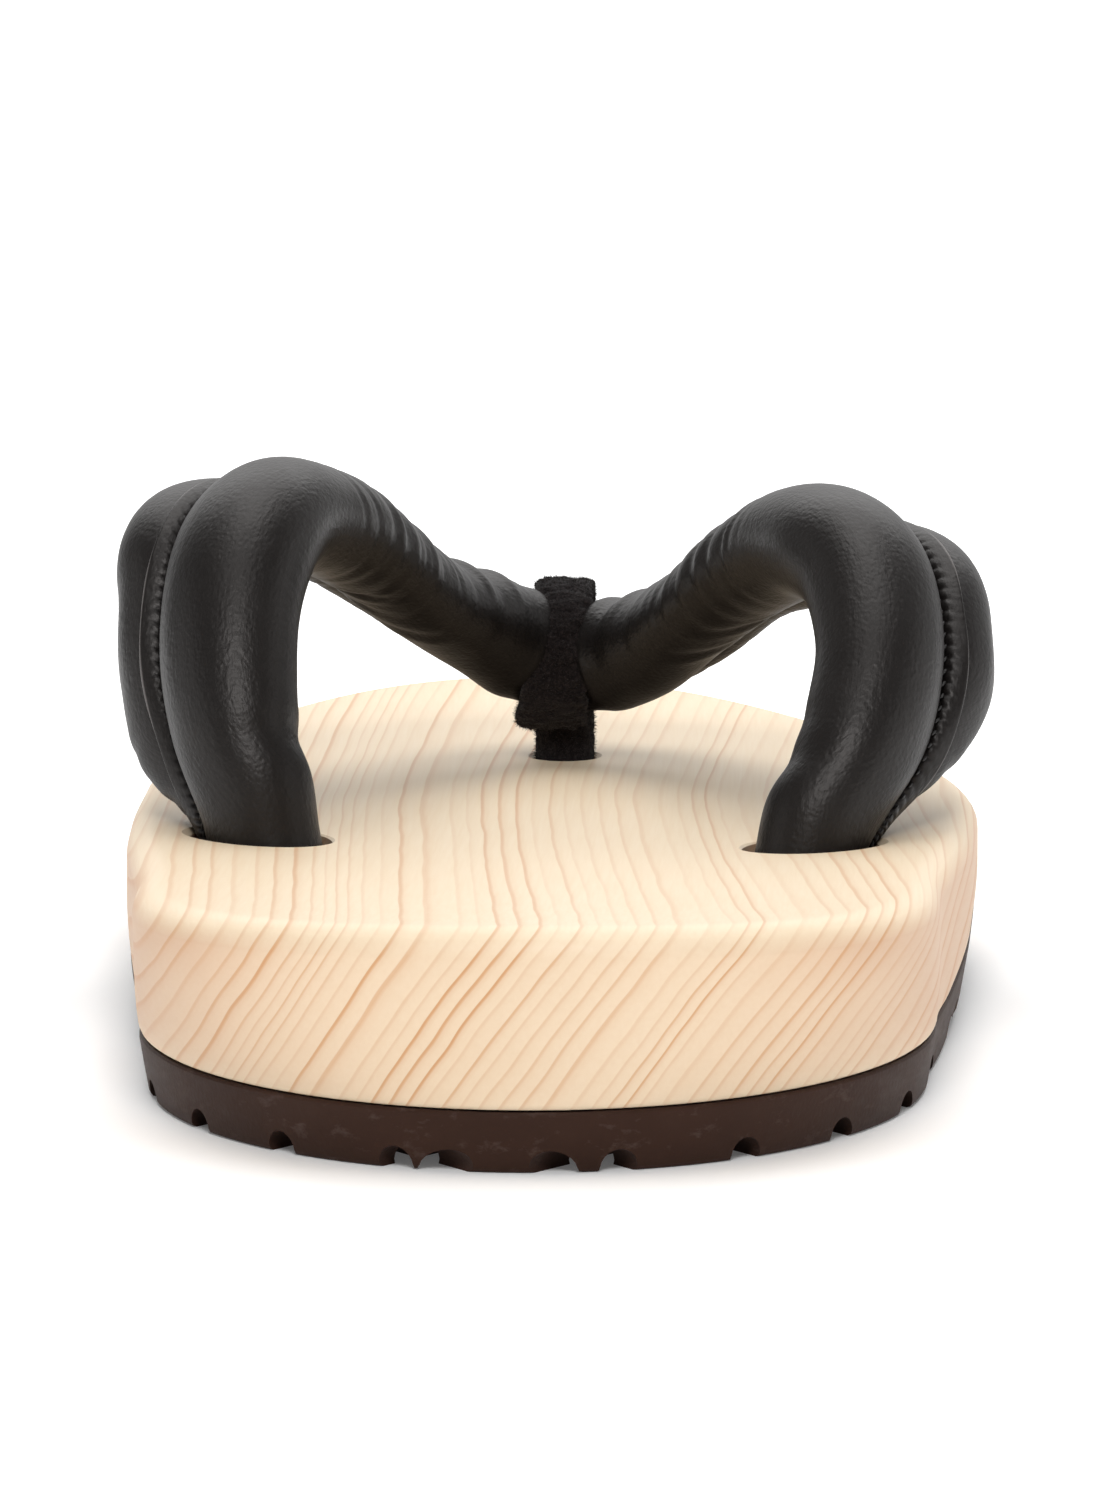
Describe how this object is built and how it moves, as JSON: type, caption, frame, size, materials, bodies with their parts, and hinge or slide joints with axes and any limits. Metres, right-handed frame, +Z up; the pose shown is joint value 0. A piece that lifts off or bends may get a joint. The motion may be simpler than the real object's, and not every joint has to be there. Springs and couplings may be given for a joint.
{
  "type": "geta sandal",
  "caption": "Right-foot geta sandal: contoured wooden base on a rubber tread, with a padded leather thong strap held down at the front by a cloth loop.",
  "frame": {"origin": "on the floor, under the middle of the sandal's bounding box", "axes": "+Z up, +Y from heel to toe, +X towards the outer side of the right foot"},
  "size_m": [0.123, 0.27, 0.0761],
  "materials": {
    "cypress_wood": "sanded bare cypress, satin",
    "brown_rubber": "moulded, matt",
    "black_leather": "smooth soft leather, low sheen",
    "napped_cloth": "raised nap, matt"
  },
  "bodies": {
    "root": {"wooden_base": "cypress_wood", "rubber_outsole": "brown_rubber", "padded_strap": "black_leather", "front_loop": "napped_cloth"}
  },
  "joints": []
}
